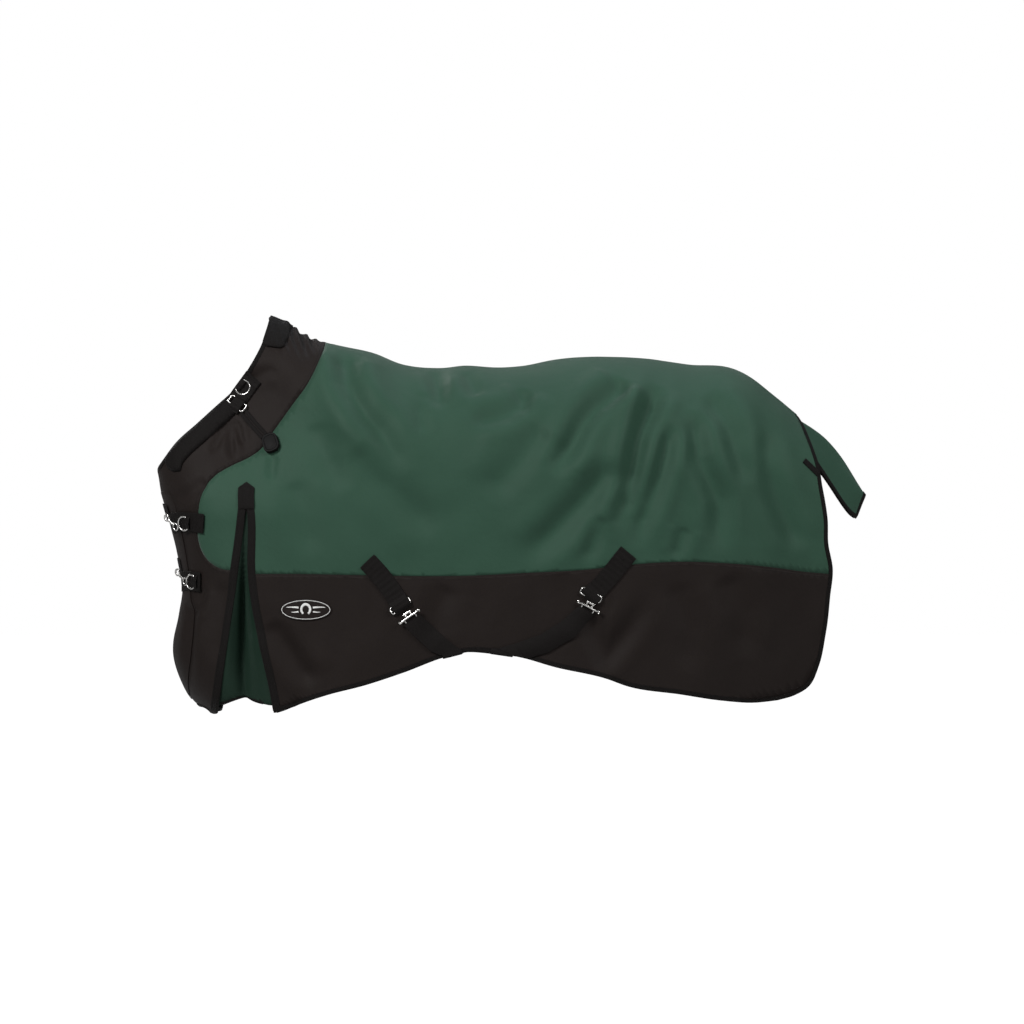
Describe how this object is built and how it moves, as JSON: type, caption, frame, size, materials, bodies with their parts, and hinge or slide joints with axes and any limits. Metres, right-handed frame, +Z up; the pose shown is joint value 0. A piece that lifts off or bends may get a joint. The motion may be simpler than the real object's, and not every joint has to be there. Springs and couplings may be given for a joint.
{
  "type": "turnout blanket",
  "caption": "Fitted waterproof horse blanket in its worn shape: high-neck collar, shoulder gussets, crossed belly straps and tail flap, hollow for the horse",
  "frame": {"origin": "under the top of the back at the middle of the blanket, on the inner face that lies on the horse", "axes": "+X from the head to the tail, -Y the horse's near (left) side, +Z up"},
  "size_m": [1.853, 0.6771, 1.0392],
  "materials": {
    "green_cloth": "hunter green coated nylon, low sheen",
    "black_cloth": "brownish black coated nylon, low sheen",
    "edge_tape": "black folded binding tape",
    "elastic": "black ribbed elastic",
    "pad_cloth": "black padded strip",
    "webbing": "black ribbed webbing",
    "steel": "nickel plated, slightly dulled",
    "toggle": "black moulded",
    "patch": "dark woven patch with a pale rim"
  },
  "bodies": {
    "root": {"upper_shell": "green_cloth", "gusset_insert_near": "green_cloth", "gusset_insert_off": "green_cloth", "tail_flap": "green_cloth", "neck_chest_panel": "black_cloth", "lower_panel_near": "black_cloth", "lower_panel_off": "black_cloth", "front_overlap": "black_cloth", "gusset_hem_near": "edge_tape", "gusset_hem_off": "edge_tape", "gusset_binding_near": "edge_tape", "gusset_binding_off": "edge_tape", "gusset_cap_near": "edge_tape", "gusset_cap_off": "edge_tape", "rear_binding_near": "edge_tape", "rear_binding_off": "edge_tape", "front_hem_binding_near": "edge_tape", "front_hem_binding_off": "edge_tape", "neck_binding_near": "edge_tape", "neck_binding_off": "edge_tape", "hem_binding_near": "edge_tape", "hem_binding_off": "edge_tape", "tail_flap_binding": "edge_tape", "rear_dart_near": "edge_tape", "rear_dart_off": "edge_tape", "crest_band": "elastic", "neck_pad_near": "pad_cloth", "neck_pad_off": "pad_cloth", "neck_tab": "webbing", "neck_strap": "webbing", "chest_tab_1": "webbing", "chest_strap_1": "webbing", "chest_tab_2": "webbing", "chest_strap_2": "webbing", "belly_tab_front": "webbing", "belly_tab_rear": "webbing", "belly_patch_front": "webbing", "belly_patch_rear": "webbing", "belly_strap_front": "webbing", "belly_strap_rear": "webbing", "neck_ring": "steel", "neck_slide": "steel", "chest_ring_1": "steel", "chest_hook_1": "steel", "chest_ring_2": "steel", "chest_hook_2": "steel", "belly_ring_front": "steel", "belly_hook_front": "steel", "belly_ring_rear": "steel", "belly_hook_rear": "steel", "neck_toggle": "toggle", "maker_patch": "patch"}
  },
  "joints": []
}
